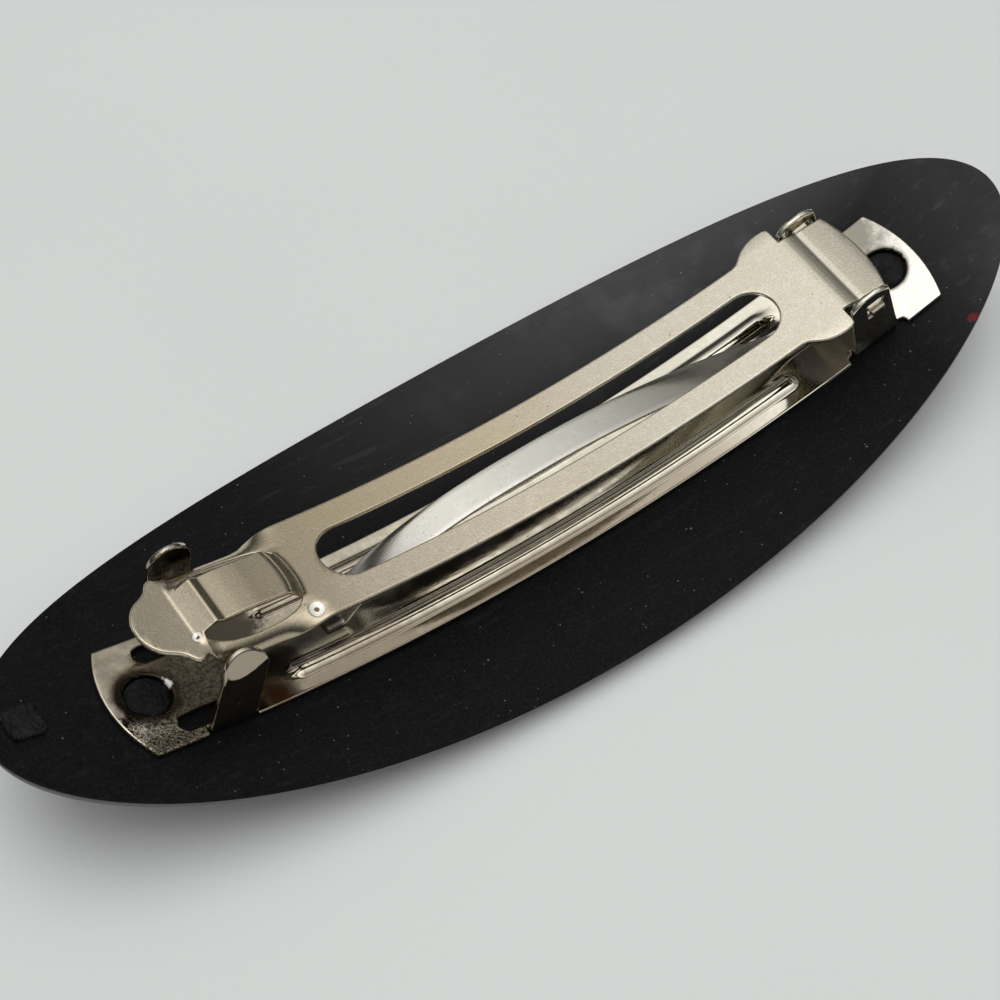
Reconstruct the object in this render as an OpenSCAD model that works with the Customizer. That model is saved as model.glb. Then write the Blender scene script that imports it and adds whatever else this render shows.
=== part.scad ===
// French barrette seen from its back: an oval plate with a spring clip along it.
// Lengths run along the bend that plate and clip share. Heights are counted from the
// top face of the base strip, toward the centre of that bend.

/* [Plate] */
// Length of the oval plate along its bend
plate_len = 99.9; // [90:0.1:110]
// Width of the oval plate
plate_w = 33.2; // [28:0.1:40]
// Thickness of the plate at its middle
plate_t = 2; // [1.8:0.1:3]
// Width of the rounding on the front rim
rim_round = 2.3; // [1.5:0.1:3]
// Side offset of the clip from the middle of the plate
clip_off = 0.81; // [0:0.01:2]

/* [Bend] */
// Radius of the bend along the length, at the top of the base strip
bend_r = 120; // [110:1:150]

/* [Base strip] */
// Thickness of the sheet that the clip is made of
sheet_t = 0.45; // [0.4:0.05:0.5]
// Width of the base strip
strip_w = 10.6; // [10.2:0.1:11]
// Distance from the middle to the end of the latch tab, along the bend
latch_tab = 40.7; // [40.2:0.1:41.5]
// Distance from the middle to the end of the hinge tab, along the bend
hinge_tab = 40.3; // [40:0.1:41.5]
// Distance from the middle to the corners of the tabs
tab_corner = 39.25; // [39:0.05:39.6]
// Distance from the middle to a tab hole
hole_at = 37.2; // [36.9:0.1:37.5]
// Diameter of the tab holes
hole_d = 3.8; // [3.4:0.1:4.6]
// Side distance of the stiffening beads
bead_y = 3.25; // [3:0.05:3.4]
// Height of the stiffening beads
bead_h = 0.45; // [0.3:0.05:0.6]

/* [Arm] */
// Height of the arm's top face over the base, at the middle
arm_h = 8.25; // [8:0.05:8.6]
// Width of the arm along its rails
arm_w = 9.5; // [9.2:0.1:9.7]
// Width of the long slot
slot_w = 4.8; // [4.4:0.1:5]
// Height of the lifted bridge over the arm
bridge_h = 1.25; // [0.8:0.05:1.5]
// Width of the lifted bridge
bridge_w = 4.4; // [4:0.1:4.6]

/* [Spring strip] */
// Width of the spring strip
spring_w = 2.6; // [2:0.1:3.4]
// Thickness of the spring strip
spring_t = 0.35; // [0.3:0.05:0.5]
// Height of the top of the bow
bow_h = 7.8; // [6.5:0.1:8.2]

/* [Hidden] */
$fn = 48;
ring_fn = 360;
tiny = 0.01;

// Plate
seat_gap = 0.15;
plate_top = -sheet_t - seat_gap;
plate_mid = -0.43;
rim_points = 96;
stud_r = hole_d / 2 - 0.2;
stud_top = -0.28;
patch_at = [-47, 1.6];
patch_size = [3.3, 3.2, 0.35];

// Latch end
latch_at = -33;
wall_out = strip_w / 2 - 0.03;
wall_in = wall_out - sheet_t;
wall_lean = 4.9;
wall_foot = [-34.6, -30.5];
wall_head = [-35.4, -31.2];
wall_top = [-33.3, 7.85];
wall_r = 2.1;
window_y = [2.75, 4.35];
window_s = [-36.5, -30.9];

// Hinge end
hinge_s = 32.7;
hinge_h = 5.85;
ear_out = 5;
ear_in = ear_out - sheet_t;
ear_s = [30.2, 34.8];
ear_lean = 1.3;
ear_top = [32.25, 5.4];
ear_r = 2.9;
ear_taper = 0.4;
relief = 0.6;
ear_hole = [1.7, 2];
lug = [1.35, 0.65];
lug_out = 0.5;
notch_r = 0.4;
cheek_out = 4.3;
cheek_r = 1.75;
knuckle_s = 32.7;
knuckle_h = 5.3;
knuckle_r = 2.4;
knuckle_turn = 35.5;
knuckle_run = 2.2;
knuckle_end = 35.45;
end_r = 12;
crease = [29.6, 31.4];

// Arm
arm_tilt = 1.65;
arm_top = bend_r - arm_h;
arm_bottom = arm_top + sheet_t;
tip_s = -36.9;
tip_r = 2.88;
flange_s = [-35.3, -26];
flange_flat = 3;
flange_r = 1.4;
slot_s = [-19.85, 23.4];
shoulder_s = 29.9;
shoulder = 1.35;
ramp = [1.6, 0.6];
rail_in = bridge_w / 2 + 0.4;
rail_drop = 0.2;
bead_r = 0.75;
bead_s = [-24.8, 23.7];

// Spring strip
bow_s = [-20, 26.5];
foot_s = [-24, 28.2];

// A point of the side view: a distance along the bend and a height over the base
function at(s, h) =
    let (turn = s / bend_r * 180 / PI)
    [(bend_r - h) * sin(turn), bend_r - (bend_r - h) * cos(turn)];

// Where a distance along the bend falls in plan, at the arm's height
function arm_x(s) = at(s, arm_h)[0];

// Height of the arm's top face, which drops a little toward the hinge
function arm_face(s) = arm_h - arm_tilt * s / bend_r;

// The turn about the arm's own bend centre that reaches a distance along the bend
function arm_turn(s) = 270 + asin((arm_x(s) - arm_tilt) / arm_top);

// Height of the spring's top face, steeper on the latch side
function bow(s) =
    s < 0
        ? bow_h * pow(max(0, 1 - pow(s / bow_s[0], 2.4)), 0.65)
        : bow_h * max(0, 1 - pow(s / bow_s[1], 2));

plate_ends = [for (side = [-1, 1]) at(plate_mid + side * plate_len / 2, plate_top - 0.4)[0]];
clip_x = -(plate_ends[0] + plate_ends[1]) / 2;
clip_z = plate_t - plate_top;

// Puts the clip's own frame into the frame of the whole part
module in_place() {
    translate([clip_x, -clip_off, clip_z])
        children();
}

// Moves what is drawn at the middle of the bend to a distance along it
module along(s) {
    translate([0, 0, bend_r])
        rotate([0, -s / bend_r * 180 / PI, 0])
            translate([0, 0, -bend_r])
                children();
}

// Extrudes a side view across the clip
module across(w) {
    rotate([90, 0, 0])
        linear_extrude(height = w, center = true)
            children();
}

// Extrudes a side view between two side distances
module wall(y0, y1) {
    translate([0, y1, 0])
        rotate([90, 0, 0])
            linear_extrude(height = y1 - y0)
                children();
}

// A band that follows the bend between two heights
module bend_band(h0, h1, w, reach) {
    across(w)
        intersection() {
            translate([0, bend_r])
                difference() {
                    circle(r = bend_r - h0, $fn = ring_fn);
                    circle(r = bend_r - h1, $fn = ring_fn);
                }
            translate([-reach, -5])
                square([2 * reach, 40]);
        }
}

// The oval plate as rings from its back face round the rim to its front face
function plate_ring(inset, h) =
    [
        for (i = [0 : rim_points - 1])
            let (
                turn = 360 * i / rim_points,
                p = at(plate_mid + (plate_len / 2 - inset) * cos(turn), h)
            )
            [p[0], clip_off + (plate_w / 2 - inset) * sin(turn), p[1]]
    ];

module plate_body() {
    front = plate_top - plate_t;
    rings = [
        [0.2, plate_top],
        [0, plate_top - 0.2],
        [0, plate_top - 0.7],
        [rim_round * 0.16, front + 0.7],
        [rim_round * 0.5, front + 0.25],
        [rim_round, front]
    ];
    last = len(rings) - 1;
    n = rim_points;
    points = [for (r = rings) each plate_ring(r[0], r[1])];
    sides = [
        for (k = [0 : last - 1])
            for (i = [0 : n - 1])
                let (j = (i + 1) % n)
                each [
                    [k * n + i, k * n + j, (k + 1) * n + j],
                    [k * n + i, (k + 1) * n + j, (k + 1) * n + i]
                ]
    ];
    back = [
        for (i = [0 : n / 2 - 1])
            let (a = i, b = i + 1, c = (n - i - 1) % n, d = (n - i) % n)
            each [[a, d, b], [b, d, c]]
    ];
    back_fan = [for (f = back) if (f[0] != f[1] && f[1] != f[2] && f[0] != f[2]) f];
    front_fan = [for (f = back_fan) [f[0] + last * n, f[2] + last * n, f[1] + last * n]];
    polyhedron(points = points, faces = concat(sides, back_fan, front_fan));
}

module oval_plate() {
    color([0.08, 0.08, 0.085])
        in_place()
            union() {
                plate_body();
                for (side = [-1, 1])
                    along(side * hole_at)
                        translate([0, 0, plate_top - 0.8])
                            cylinder(r = stud_r, h = stud_top - plate_top + 0.8);
                along(patch_at[0])
                    translate([-patch_size[0] / 2, patch_at[1] - patch_size[1] / 2, plate_top - 0.5])
                        cube([patch_size[0], patch_size[1], patch_size[2] + 0.5]);
            }
}

// Radius of the arc through both corners of a tab and its end
function tab_r(end_x, corner_x) =
    (pow(end_x - corner_x, 2) + pow(strip_w / 2, 2)) / (2 * (end_x - corner_x));

// A half of the strip with the curved end of its tab
module strip_half(tab_end) {
    end_x = at(tab_end, 0)[0];
    corner_x = at(tab_corner, 0)[0];
    r = tab_r(end_x, corner_x);
    intersection() {
        translate([-1, -strip_w / 2])
            square([end_x + 1, strip_w]);
        union() {
            translate([-1, -strip_w / 2])
                square([corner_x + 0.9, strip_w]);
            translate([end_x - r, 0])
                circle(r = r, $fn = 128);
        }
    }
}

// Plan outline of the base strip with its curved ends and its relief cuts
module strip_plan() {
    cut = [for (s = [ear_s[0] - relief, ear_s[1] + relief]) at(s, 0)[0]];
    difference() {
        union() {
            strip_half(hinge_tab);
            mirror([1, 0])
                strip_half(latch_tab);
        }
        for (side = [-1, 1]) {
            translate([at(window_s[0], 0)[0], side > 0 ? window_y[0] : -window_y[1]])
                window();
            translate([cut[0], side * ear_out - (side > 0 ? 0 : 1)])
                square([cut[1] - cut[0], 1]);
            for (s = [ear_s[0] - notch_r, ear_s[1] + notch_r])
                translate([at(s, 0)[0], side * ear_out])
                    circle(r = notch_r);
        }
    }
}

// The opening that is left behind a latch ear
module window() {
    long = at(window_s[1], 0)[0] - at(window_s[0], 0)[0];
    wide = window_y[1] - window_y[0];
    translate([wide / 2, wide / 2])
        circle(r = wide / 2);
    translate([wide / 2, 0])
        square([long - wide / 2, wide]);
}

// A raised bead with round ends
module bead(y) {
    span = (bead_s[1] - bead_s[0]) / bend_r * 180 / PI;
    first = 270 + bead_s[0] / bend_r * 180 / PI;
    root = sheet_t / 2;
    translate([0, y, bend_r])
        rotate([90, 0, 0])
            rotate_extrude(angle = span, start = first, $fn = ring_fn)
                intersection() {
                    translate([bend_r - bead_h + bead_r, 0])
                        circle(r = bead_r, $fn = 32);
                    translate([bend_r - 2, -2])
                        square([2 + root, 4]);
                }
    for (side = [0, 1])
        along(bead_s[side] + (side == 0 ? 0.1 : -0.1))
            intersection() {
                translate([0, y, bead_h - bead_r - 0.04])
                    sphere(r = bead_r - 0.04, $fn = 32);
                translate([-2, y - 2, -root])
                    cube([4, 4, 2]);
            }
}

// A wall seen from its side: a foot, a head and a round top over it
module round_top(foot, head, centre, r) {
    intersection() {
        polygon([
            [foot[0], -sheet_t / 2],
            [foot[1], -sheet_t / 2],
            [head[1], centre[1]],
            [head[1], centre[1] + r],
            [head[0], centre[1] + r],
            [head[0], centre[1]]
        ]);
        union() {
            translate(centre)
                circle(r = r, $fn = 64);
            translate([centre[0] - 2 * r, -1])
                square([4 * r, centre[1] + 1]);
        }
    }
}

// Tips a wall outward about the outer edge of its foot
module lean(y, angle) {
    translate([0, y, 0])
        rotate([-angle, 0, 0])
            translate([0, -y, 0])
                children();
}

// A latch ear, which leans outward
module latch_ear(side) {
    from = [latch_at, latch_at];
    mirror([0, side < 0 ? 1 : 0, 0])
        along(latch_at)
            lean(wall_out, wall_lean)
                wall(wall_in, wall_out)
                    round_top(wall_foot - from, wall_head - from, wall_top - [latch_at, 0], wall_r);
}

// A hinge ear with the hole that takes a lug of the arm
module hinge_ear(side) {
    from = [hinge_s, hinge_s];
    mirror([0, side < 0 ? 1 : 0, 0])
        along(hinge_s)
            lean(ear_out, ear_lean)
                wall(ear_in, ear_out)
                    difference() {
                        round_top(
                            ear_s - from,
                            ear_s - from - [0, ear_taper],
                            ear_top - [hinge_s, 0],
                            ear_r
                        );
                        translate([0, hinge_h])
                            square(ear_hole, center = true);
                    }
}

module base_strip() {
    color([0.62, 0.58, 0.5])
        in_place() {
            difference() {
                intersection() {
                    bend_band(-sheet_t, 0, strip_w + 2, 45);
                    linear_extrude(height = 20, center = true)
                        strip_plan();
                }
                for (side = [-1, 1])
                    along(side * hole_at)
                        translate([0, 0, -2])
                            cylinder(r = hole_d / 2, h = 4);
            }
            for (side = [-1, 1]) {
                bead(side * bead_y);
                latch_ear(side);
                hinge_ear(side);
            }
        }
}

// A band that follows the arm's own bend
module arm_band(w) {
    across(w)
        intersection() {
            translate([arm_tilt, bend_r])
                difference() {
                    circle(r = arm_bottom, $fn = ring_fn);
                    circle(r = arm_top, $fn = ring_fn);
                }
            translate([-45, 0])
                square([90, 40]);
        }
}

// An outline mirrored about the length from the points on its far side
module mirrored(edge) {
    far = [for (p = edge) [arm_x(p[0]), p[1]]];
    near = [for (i = [len(far) - 1 : -1 : 0]) [far[i][0], -far[i][1]]];
    polygon(concat(far, near));
}

// Plan outline of the tongue at the latch end: a round tip and two small corners
module tongue_plan() {
    corner = flange_s[0] - 1.1;
    translate([arm_x(tip_s), 0])
        circle(r = tip_r);
    mirrored([
        [tip_s - 0.9, tip_r - 0.13],
        [corner, flange_flat + 0.9],
        [corner + 0.7, flange_flat + 0.85],
        [flange_s[0], flange_flat + 0.6]
    ]);
}

// Plan outline of the arm from the bridge to its shoulders
module body_plan() {
    half = arm_w / 2;
    left = arm_x(slot_s[0]);
    difference() {
        mirrored([
            [flange_s[1], half - 0.45],
            [flange_s[1] + 0.8, half - 0.2],
            [flange_s[1] + 1.6, half],
            [shoulder_s - 4.6, half],
            [shoulder_s - 3.9, half + shoulder * 0.33],
            [shoulder_s - 3.2, half + shoulder * 0.67],
            [shoulder_s - 2.4, half + shoulder * 0.89],
            [shoulder_s - 1.5, half + shoulder],
            [shoulder_s - 0.6, half + shoulder],
            [shoulder_s, half + shoulder * 0.89]
        ]);
        for (s = slot_s)
            translate([arm_x(s), 0])
                circle(r = slot_w / 2);
        translate([left, -slot_w / 2])
            square([arm_x(slot_s[1]) - left, slot_w]);
        translate([arm_x(flange_s[1]) - 1, -rail_in])
            square([1 + ramp[1], 2 * rail_in]);
    }
}

// Section of one rail beside the bridge: flat, then turned down in a quarter round
module rail_section() {
    top = arm_top + rail_drop;
    translate([top, rail_in])
        square([sheet_t, flange_flat - rail_in]);
    translate([top + flange_r, flange_flat])
        intersection() {
            difference() {
                circle(r = flange_r);
                circle(r = flange_r - sheet_t);
            }
            translate([-flange_r, 0])
                square(flange_r);
        }
}

// The strip between the rails, which rises clear of them on two ramps
module bridge() {
    s = [
        flange_s[0] - ramp[1],
        flange_s[0] + ramp[0],
        flange_s[1] - ramp[1],
        flange_s[1] + ramp[1] + 0.2
    ];
    middle = (s[1] + s[2]) / 2;
    crown = arm_face(middle) + bridge_h + 0.1;
    across(bridge_w)
        polygon([
            at(s[0], arm_face(s[0])),
            at(s[1], arm_face(s[1]) + bridge_h),
            at(middle, crown),
            at(s[2], arm_face(s[2]) + bridge_h),
            at(s[3], arm_face(s[3])),
            at(s[3] - 0.3, arm_face(s[3]) - sheet_t),
            at(s[2] - 0.2, arm_face(s[2]) + bridge_h - sheet_t),
            at(middle, crown - sheet_t),
            at(s[1] + 0.2, arm_face(s[1]) + bridge_h - sheet_t),
            at(s[0] + 0.3, arm_face(s[0]) - sheet_t)
        ]);
}

// The arched end of the arm with its cheeks and the lugs it turns on
module knuckle() {
    arch = at(knuckle_s, knuckle_h);
    slope = hinge_s / bend_r * 180 / PI;
    intersection() {
        across(2 * cheek_out) {
            intersection() {
                translate(arch)
                    difference() {
                        circle(r = knuckle_r, $fn = 64);
                        circle(r = knuckle_r - sheet_t, $fn = 64);
                    }
                translate(arch)
                    rotate(slope)
                        polygon([
                            [0, 0],
                            2 * knuckle_r * [-sin(knuckle_turn), cos(knuckle_turn)],
                            2 * knuckle_r * [sin(knuckle_turn), cos(knuckle_turn)]
                        ]);
            }
            translate(arch)
                rotate(slope - knuckle_turn)
                    translate([-tiny, knuckle_r - sheet_t])
                        square([knuckle_run, sheet_t]);
            polygon([
                at(crease[0], arm_face(crease[0])),
                at(crease[1], knuckle_h + knuckle_r - 0.38),
                at(crease[1] + 0.35, knuckle_h + knuckle_r - 0.75),
                at(crease[0], arm_face(crease[0]) - sheet_t)
            ]);
        }
        translate([at(knuckle_end, 6.4)[0] - end_r, 0, 0])
            cylinder(r = end_r, h = 40, $fn = 128);
    }
    for (side = [-1, 1])
        mirror([0, side < 0 ? 1 : 0, 0])
            along(hinge_s) {
                wall(cheek_out - sheet_t, cheek_out)
                    translate([0, hinge_h])
                        circle(r = cheek_r);
                wall(cheek_out - tiny, ear_out + lug_out)
                    translate([0, hinge_h])
                        square(lug, center = true);
            }
}

module clasp_arm() {
    color([0.76, 0.72, 0.63])
        in_place() {
            intersection() {
                arm_band(14);
                linear_extrude(height = 40) {
                    tongue_plan();
                    body_plan();
                }
            }
            for (side = [0, 1])
                mirror([0, side, 0])
                    translate([arm_tilt, 0, bend_r])
                        rotate([90, 0, 0])
                            mirror([0, 0, 1])
                                rotate_extrude(
                                    angle = arm_turn(flange_s[1] + tiny) - arm_turn(flange_s[0] - tiny),
                                    start = arm_turn(flange_s[0] - tiny),
                                    $fn = ring_fn
                                )
                                    rail_section();
            bridge();
            knuckle();
        }
}

// Side view of the spring strip: a foot, a bow and a second foot
module bow_side() {
    foot_h = spring_t + seat_gap;
    path = concat(
        [[foot_s[0], foot_h], [bow_s[0] - 0.6, foot_h], [bow_s[0] - 0.1, 0.9]],
        [for (k = [1 : 14]) let (s = bow_s[0] * (1 - pow(k / 15, 1.4))) [s, bow(s)]],
        [for (s = [0 : 2 : bow_s[1] - 2]) [s, bow(s)]],
        [[bow_s[1] - 1.2, bow(bow_s[1] - 1.2)], [bow_s[1] - 0.2, foot_h], [foot_s[1], foot_h]]
    );
    n = len(path);
    under = [
        for (i = [n - 1 : -1 : 0])
            let (
                a = path[max(0, i - 1)],
                b = path[min(n - 1, i + 1)],
                d = (b - a) / norm(b - a)
            )
            [path[i][0] + d[1] * spring_t, path[i][1] - d[0] * spring_t]
    ];
    polygon([for (p = concat(path, under)) at(p[0], p[1])]);
}

module spring_strip() {
    color([0.85, 0.84, 0.8])
        in_place()
            across(spring_w)
                bow_side();
}

oval_plate();
base_strip();
clasp_arm();
spring_strip();
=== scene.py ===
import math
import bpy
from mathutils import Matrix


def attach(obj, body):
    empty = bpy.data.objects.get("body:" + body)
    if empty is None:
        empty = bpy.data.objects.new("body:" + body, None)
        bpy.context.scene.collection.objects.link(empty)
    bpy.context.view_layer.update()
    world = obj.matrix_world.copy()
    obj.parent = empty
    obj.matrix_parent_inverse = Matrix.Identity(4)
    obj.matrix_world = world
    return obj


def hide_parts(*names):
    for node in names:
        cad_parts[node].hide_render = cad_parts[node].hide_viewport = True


bl_info = {
    "name": "French Barrette",
    "version": (1, 0, 0),
    "blender": (4, 5, 0),
    "location": "View3D > Sidebar > Barrette",
    "description": "Models an oval french barrette from its back over its CAD frame",
    "category": "Add Mesh",
}

import bmesh
import bpy
from mathutils import Matrix, Vector

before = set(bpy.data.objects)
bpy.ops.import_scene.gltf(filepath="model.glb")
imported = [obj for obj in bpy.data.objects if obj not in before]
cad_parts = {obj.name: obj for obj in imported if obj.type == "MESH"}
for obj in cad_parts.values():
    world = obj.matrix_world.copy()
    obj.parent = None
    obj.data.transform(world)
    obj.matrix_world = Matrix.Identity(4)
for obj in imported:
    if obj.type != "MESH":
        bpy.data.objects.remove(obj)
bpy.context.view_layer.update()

MM = 0.001
# The arm's bend is centred this far toward the hinge
ARM_SHIFT = 1.65 * MM
# A turn about X that folds an ear up has this sign
FOLD_SIGN = -1.0
# Half widths of the strip, in millimetres: at its tabs, and where the latch and hinge ears start
TAB_HALF = 5.3
LATCH_ROOT = 4.52
HINGE_ROOT = 4.25
# Places along the clip, in millimetres
PATCH_PLACE = -47.0
LUG_PLACE = 32.7
# Inner radius of the folds of the ears
FOLD_INNER = 0.3 * MM
# Places and coordinates closer than this are the same
HAIR = 1e-7
# Layout of the shader nodes
NODE_STEP = 230
NODE_ROWS = 9


def metres(name, description, default):
    """A length that a user can change."""
    return bpy.props.FloatProperty(name=name, description=description, default=default, unit="LENGTH")


def tone(name, description, default):
    """A colour that a user can change."""
    return bpy.props.FloatVectorProperty(
        name=name, description=description, default=default, subtype="COLOR"
    )


class BarretteClipSizes(bpy.types.PropertyGroup):
    """Sizes that the strip, the arm and the spring share."""

    origin: bpy.props.FloatVectorProperty(
        name="Clip Origin",
        description="Place of the strip's middle, on its top face",
        size=3,
        default=(0.00039656, -0.00081, 0.0026),
        unit="LENGTH",
    )
    bend_radius: metres("Bend Radius", "Radius of the bend along the length", 0.12)
    sheet: metres("Sheet", "Thickness of the sheet metal", 0.00045)
    edge: metres("Edge", "Rounding of the sheared edges", 0.00014)


class BarrettePlateSizes(bpy.types.PropertyGroup):
    """Sizes of the oval plate."""

    length: metres("Length", "Length of the plate along its bend", 0.0999)
    width: metres("Width", "Width of the plate", 0.0332)
    top: metres("Back Face", "Height of the back face against the strip", -0.0006)
    shift: metres("Shift", "Middle of the plate along the clip", -0.00043)


class BarretteStripSizes(bpy.types.PropertyGroup):
    """Sizes of the base strip."""

    hole_place: metres("Hole Place", "Distance of both tab holes from the middle", 0.0372)
    hole_radius: metres("Hole Radius", "Radius of both tab holes", 0.0019)
    ear_length: metres("Latch Ear", "Length of a latch ear before it is folded", 0.01025)
    bead_height: metres("Bead Height", "Height of the two long beads", 0.00036)
    bead_half: metres("Bead Half Width", "Half the width of a bead", 0.00082)


class BarretteArmSizes(bpy.types.PropertyGroup):
    """Sizes of the arm."""

    rise: metres("Rise", "Height of the arm's middle over the strip", 0.00825)
    slot_half: metres("Slot Half Width", "Half the width of the long slot", 0.0024)
    dent_deep: bpy.props.FloatProperty(
        name="Dent Depth", description="Depth of a dent for each part of its reach", default=0.2
    )
    cheek_radius: metres("Cheek Radius", "Radius of the round cheeks at the hinge", 0.00125)


class BarretteSpringSizes(bpy.types.PropertyGroup):
    """Sizes of the spring strip."""

    width: metres("Width", "Width of the spring strip", 0.0028)
    thickness: metres("Thickness", "Thickness of the spring strip", 0.00035)
    height: metres("Bow Height", "Height of the bow over the base strip", 0.0078)


class BarretteColours(bpy.types.PropertyGroup):
    """Colours of the finishes."""

    plastic: tone("Plastic", "Black of the plate", (0.0020, 0.0023, 0.0028))
    # Grey of fine scratches and painted sheen on the plate, toward its far side and hinge end
    haze: tone("Haze", "Grey haze on the plate", (0.09, 0.087, 0.093))
    arm_latch: tone("Arm, Latch End", "Metal of the arm at the latch", (0.61, 0.54, 0.41))
    arm_hinge: tone("Arm, Hinge End", "Metal of the arm at the hinge", (0.665, 0.625, 0.53))
    strip_latch: tone("Strip, Latch End", "Nickel at the latch", (0.93, 0.845, 0.69))
    strip_hinge: tone("Strip, Hinge End", "Nickel at the hinge", (0.73, 0.70, 0.60))
    spring: tone("Spring", "Steel of the spring strip", (0.65, 0.632, 0.582))
    table: tone("Table", "Pale tone of the table", (0.73, 0.75, 0.745))


class BarretteStageSettings(bpy.types.PropertyGroup):
    """Camera and light of the stage."""

    lens: bpy.props.FloatProperty(name="Lens", description="Focal length in millimetres", default=80.46)
    camera_place: bpy.props.FloatVectorProperty(
        name="Camera Place",
        description="Where the camera stands",
        size=3,
        default=(-0.060445, -0.081858, 0.160137),
        unit="LENGTH",
    )
    camera_turn: bpy.props.FloatVectorProperty(
        name="Camera Turn",
        description="How the camera is turned, in degrees",
        size=3,
        default=(32.8886, -0.2450, -34.7459),
    )
    key_energy: bpy.props.FloatProperty(
        name="Ceiling Light", description="Energy of the ceiling light", default=10.4
    )
    room_strength: bpy.props.FloatProperty(
        name="Room Light", description="Strength of the room light", default=1.72
    )


def clear():
    """Deselects every object."""
    bpy.ops.object.select_all(action="DESELECT")


def everything():
    """Selects all of the open mesh."""
    bpy.ops.mesh.select_all(action="SELECT")


def take(piece):
    """Makes one object the only selected and active one."""
    clear()
    piece.select_set(True)
    bpy.context.view_layer.objects.active = piece


def edit(piece):
    """Opens an object's mesh in edit mode."""
    take(piece)
    bpy.ops.object.mode_set(mode="EDIT")


def done():
    """Leaves edit mode."""
    bpy.ops.object.mode_set(mode="OBJECT")


def pick(kind, wanted):
    """Selects what is wanted in the open mesh and raises an error where there is nothing."""
    bpy.ops.mesh.select_mode(type=kind)
    bpy.ops.mesh.select_all(action="DESELECT")
    mesh = bpy.context.edit_object.data
    shape = bmesh.from_edit_mesh(mesh)
    shape.normal_update()
    if kind == "VERT":
        found = [point for point in shape.verts if wanted(point.co)]
    elif kind == "EDGE":
        found = [edge for edge in shape.edges if wanted(edge.verts[0].co, edge.verts[1].co)]
    else:
        found = [face for face in shape.faces if wanted(face.calc_center_median(), face.normal)]
    if not found:
        raise RuntimeError("nothing to select on " + bpy.context.edit_object.name)
    for item in found:
        item.select = True
    shape.select_flush_mode()
    bmesh.update_edit_mesh(mesh)


def move(x=0.0, y=0.0, z=0.0):
    """Moves what is selected."""
    bpy.ops.transform.translate(value=(x, y, z))


def soft_move(height, reach):
    """Lifts what is selected and draws its surroundings along, as a press does."""
    bpy.ops.transform.translate(
        value=(0.0, 0.0, height),
        use_proportional_edit=True,
        proportional_edit_falloff="SMOOTH",
        proportional_size=reach,
    )


def resize(x, y, z, centre=(0.0, 0.0, 0.0)):
    """Scales what is selected about a place."""
    bpy.ops.transform.resize(value=(x, y, z), center_override=centre)


def extrude(x=0.0, y=0.0, z=0.0):
    """Extrudes what is selected and moves it."""
    bpy.ops.mesh.extrude_region_move(TRANSFORM_OT_translate={"value": (x, y, z)})


def slice_at(axis, places):
    """Cuts a line right through the open mesh at each place along an axis."""
    bpy.ops.mesh.select_mode(type="FACE")
    for place in places:
        spot = [0.0, 0.0, 0.0]
        spot["xyz".index(axis)] = place
        way = [0.0, 0.0, 0.0]
        way["xyz".index(axis)] = 1.0
        everything()
        bpy.ops.mesh.bisect(plane_co=spot, plane_no=way, threshold=HAIR)


def evenly(first, last, step):
    """Places from first to last, at most a step apart."""
    count = max(1, math.ceil(abs(last - first) / step - HAIR))
    return [first + (last - first) * k / count for k in range(count + 1)]


def blank(name, stations, thickness):
    """A flat plate cut to an outline: half widths at places along its length."""
    clear()
    bpy.ops.mesh.primitive_grid_add(x_subdivisions=len(stations) - 1, y_subdivisions=1, size=1.0)
    piece = bpy.context.object
    piece.name = piece.data.name = name
    order = sorted(range(len(piece.data.vertices)), key=lambda k: piece.data.vertices[k].co.x)
    edit(piece)
    bpy.ops.mesh.select_mode(type="VERT")
    for k, (place, half) in enumerate(stations):
        bpy.ops.mesh.select_all(action="DESELECT")
        shape = bmesh.from_edit_mesh(piece.data)
        shape.verts.ensure_lookup_table()
        pair = [shape.verts[order[2 * k]], shape.verts[order[2 * k + 1]]]
        for point in pair:
            point.select = True
        shape.select_flush_mode()
        bmesh.update_edit_mesh(piece.data)
        was = pair[0].co.x
        resize(1.0, 2.0 * half, 1.0, (was, 0.0, 0.0))
        move(x=place - was)
    rim = max(half for place, half in stations) * 1e-3
    first, last = stations[0][0] + HAIR, stations[-1][0] - HAIR
    pick("EDGE", lambda a, b: abs(a.x - b.x) < HAIR and abs(a.y - b.y) > rim and first < a.x < last)
    bpy.ops.mesh.dissolve_edges(use_verts=False)
    everything()
    extrude(z=-thickness)
    everything()
    bpy.ops.mesh.normals_make_consistent(inside=False)
    done()
    return piece


def apply(piece, kind, **values):
    """Adds a modifier to an object and applies it."""
    take(piece)
    modifier = piece.modifiers.new(kind.lower(), kind)
    for key, value in values.items():
        setattr(modifier, key, value)
    bpy.ops.object.modifier_apply(modifier=modifier.name)


def box(length, width, height):
    """A box about the origin, open in edit mode with all of it selected."""
    clear()
    bpy.ops.mesh.primitive_cube_add(size=1.0)
    piece = bpy.context.object
    edit(piece)
    everything()
    resize(length, width, height)
    return piece


def cut_out(piece, x0, x1, y0, y1, round_left=0.0, round_right=0.0):
    """Cuts an opening through a flat piece, with rounded ends if asked."""
    tool = box(x1 - x0, y1 - y0, 4.0 * MM)
    move(x=(x0 + x1) / 2, y=(y0 + y1) / 2)
    for side, radius in ((x0, round_left), (x1, round_right)):
        if radius:
            pick("EDGE", lambda a, b: max(abs(a.x - side), abs(b.x - side)) < HAIR and abs(a.z - b.z) > MM)
            bpy.ops.mesh.bevel(offset=radius, segments=10, affect="EDGES")
    done()
    subtract(piece, tool)


def subtract(piece, tool):
    """Takes a tool's shape out of a piece and deletes the tool."""
    apply(piece, "BOOLEAN", object=tool, operation="DIFFERENCE", solver="EXACT")
    bpy.data.objects.remove(tool, do_unlink=True)


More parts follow.
